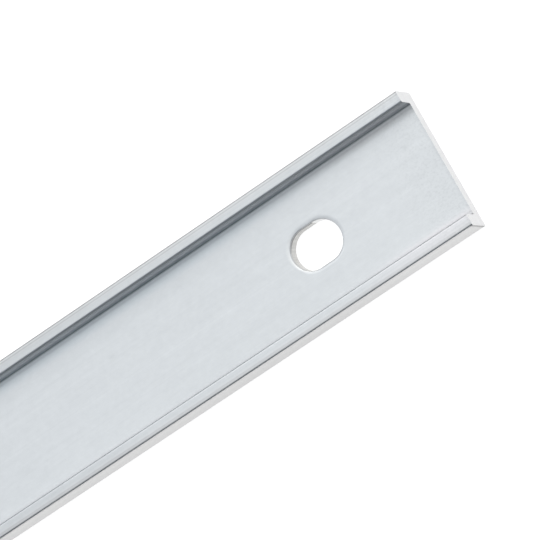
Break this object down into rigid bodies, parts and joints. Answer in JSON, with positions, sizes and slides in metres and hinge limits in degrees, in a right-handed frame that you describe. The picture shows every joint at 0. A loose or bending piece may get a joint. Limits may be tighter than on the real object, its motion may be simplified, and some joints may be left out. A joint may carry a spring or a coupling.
{
  "type": "termination bar",
  "caption": "Long extruded aluminium termination bar, a shallow channel with low upturned flanges and a row of punched slots for clamping a membrane edge to a wall.",
  "frame": {"origin": "middle of the flat back face, halfway along the bar", "axes": "+X along the bar towards the pictured end, +Y across its width, +Z from the back up through the flanges"},
  "size_m": [3.048, 0.0254, 0.006],
  "materials": {
    "mill_aluminium": "mill finish, satin, with faint lengthwise die lines"
  },
  "bodies": {
    "root": {"termination_bar": "mill_aluminium"}
  },
  "joints": []
}
